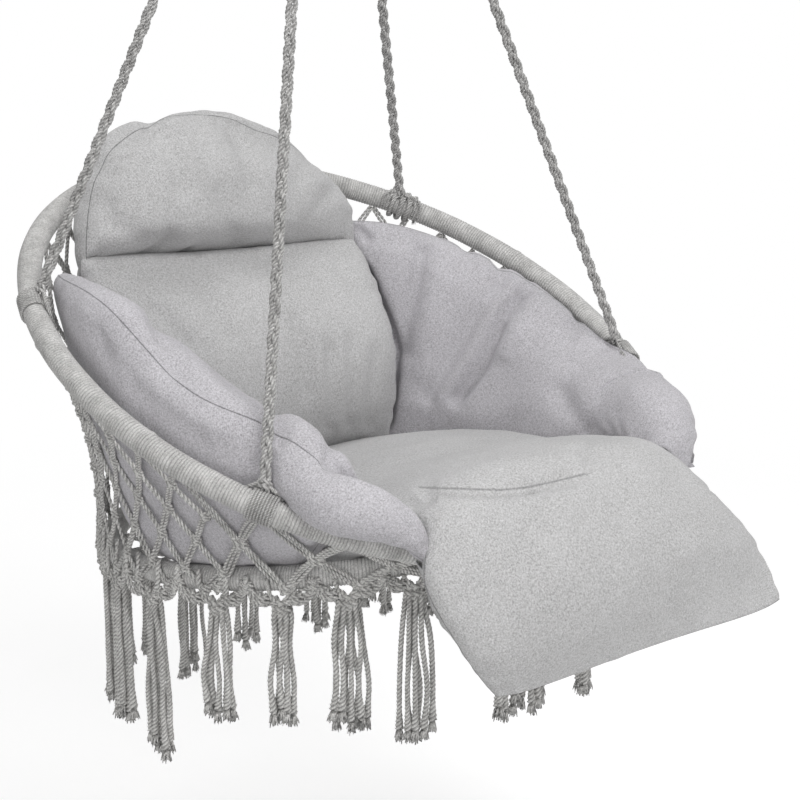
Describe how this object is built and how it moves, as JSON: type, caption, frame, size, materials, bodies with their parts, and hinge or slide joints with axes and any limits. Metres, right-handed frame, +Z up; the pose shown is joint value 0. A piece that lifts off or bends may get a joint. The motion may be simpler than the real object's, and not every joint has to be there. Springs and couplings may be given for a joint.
{
  "type": "hanging chair",
  "caption": "Hanging macrame hammock chair: two cord-wound steel hoops joined by a knotted cord net, hung by ropes from a swivel hook, with a set of loose padded cushions.",
  "frame": {"origin": "the bearing point at the top of the inside of the swivel eye, where a ceiling hook carries the chair", "axes": "+Z up along the hanging line, the chair faces -Y, +X is to the left of a person sitting in it"},
  "size_m": [0.8286, 0.8699, 1.6318],
  "materials": {
    "steel": "satin",
    "tube": "satin",
    "cord": "matte",
    "cloth": "matte",
    "wing_cloth": "matte"
  },
  "bodies": {
    "hanger": {"swivel_eye": "steel"},
    "hook": {"swivel_hook": "steel", "gate_pin": "steel"},
    "gate": {"hook_gate": "steel"},
    "ring": {"hang_ring": "steel"},
    "chair": {"rope_front_left": "cord", "rope_back_left": "cord", "rope_front_right": "cord", "rope_back_right": "cord", "rope_hitch_front_left": "cord", "rope_hitch_back_left": "cord", "rope_hitch_front_right": "cord", "rope_hitch_back_right": "cord", "upper_hoop_tube": "tube", "lower_hoop_tube": "tube", "upper_hoop_wrap_1": "cord", "upper_hoop_wrap_2": "cord", "upper_hoop_wrap_3": "cord", "upper_hoop_wrap_4": "cord", "lower_hoop_wrap_1": "cord", "lower_hoop_wrap_2": "cord", "lower_hoop_wrap_3": "cord", "lower_hoop_wrap_4": "cord", "side_net_1": "cord", "side_net_2": "cord", "side_net_3": "cord", "side_net_4": "cord", "side_net_5": "cord", "side_net_6": "cord", "side_net_7": "cord", "side_net_8": "cord", "seat_net": "cord", "fringe_1": "cord", "fringe_2": "cord", "fringe_3": "cord", "fringe_4": "cord", "fringe_5": "cord", "fringe_6": "cord", "fringe_7": "cord", "fringe_8": "cord", "fringe_9": "cord", "fringe_10": "cord", "fringe_11": "cord", "fringe_12": "cord", "seat_cushion": "cloth", "back_cushion": "cloth", "head_cushion": "cloth", "left_wing_cushion": "wing_cloth", "right_wing_cushion": "wing_cloth"},
    "leg_rest": {"leg_cushion": "cloth"}
  },
  "joints": [
    {"name": "swivel_spin", "type": "hinge", "parent": "hanger", "child": "hook", "pos_m": [0, 0, -0.045], "axis": [0, 0, 1], "continuous": true},
    {"name": "gate_open", "type": "hinge", "parent": "hook", "child": "gate", "pos_m": [0, 0.016, -0.084], "axis": [-1, 0, 0], "range_deg": [0, 30], "stiffness_Nm_per_rad": 0.05, "springref_deg": -22.92},
    {"name": "ring_sway", "type": "hinge", "parent": "hook", "child": "ring", "pos_m": [0, 0, -0.13], "axis": [0, 1, 0], "range_deg": [-15, 15]},
    {"name": "chair_swing", "type": "hinge", "parent": "ring", "child": "chair", "pos_m": [0, 0, -0.2192], "axis": [1, 0, 0], "range_deg": [-20, 20]},
    {"name": "leg_rest_lift", "type": "hinge", "parent": "chair", "child": "leg_rest", "pos_m": [-0.232, -0.308, -1.2112], "axis": [-0.9863, 0.1547, 0.058], "range_deg": [0, 60]}
  ]
}
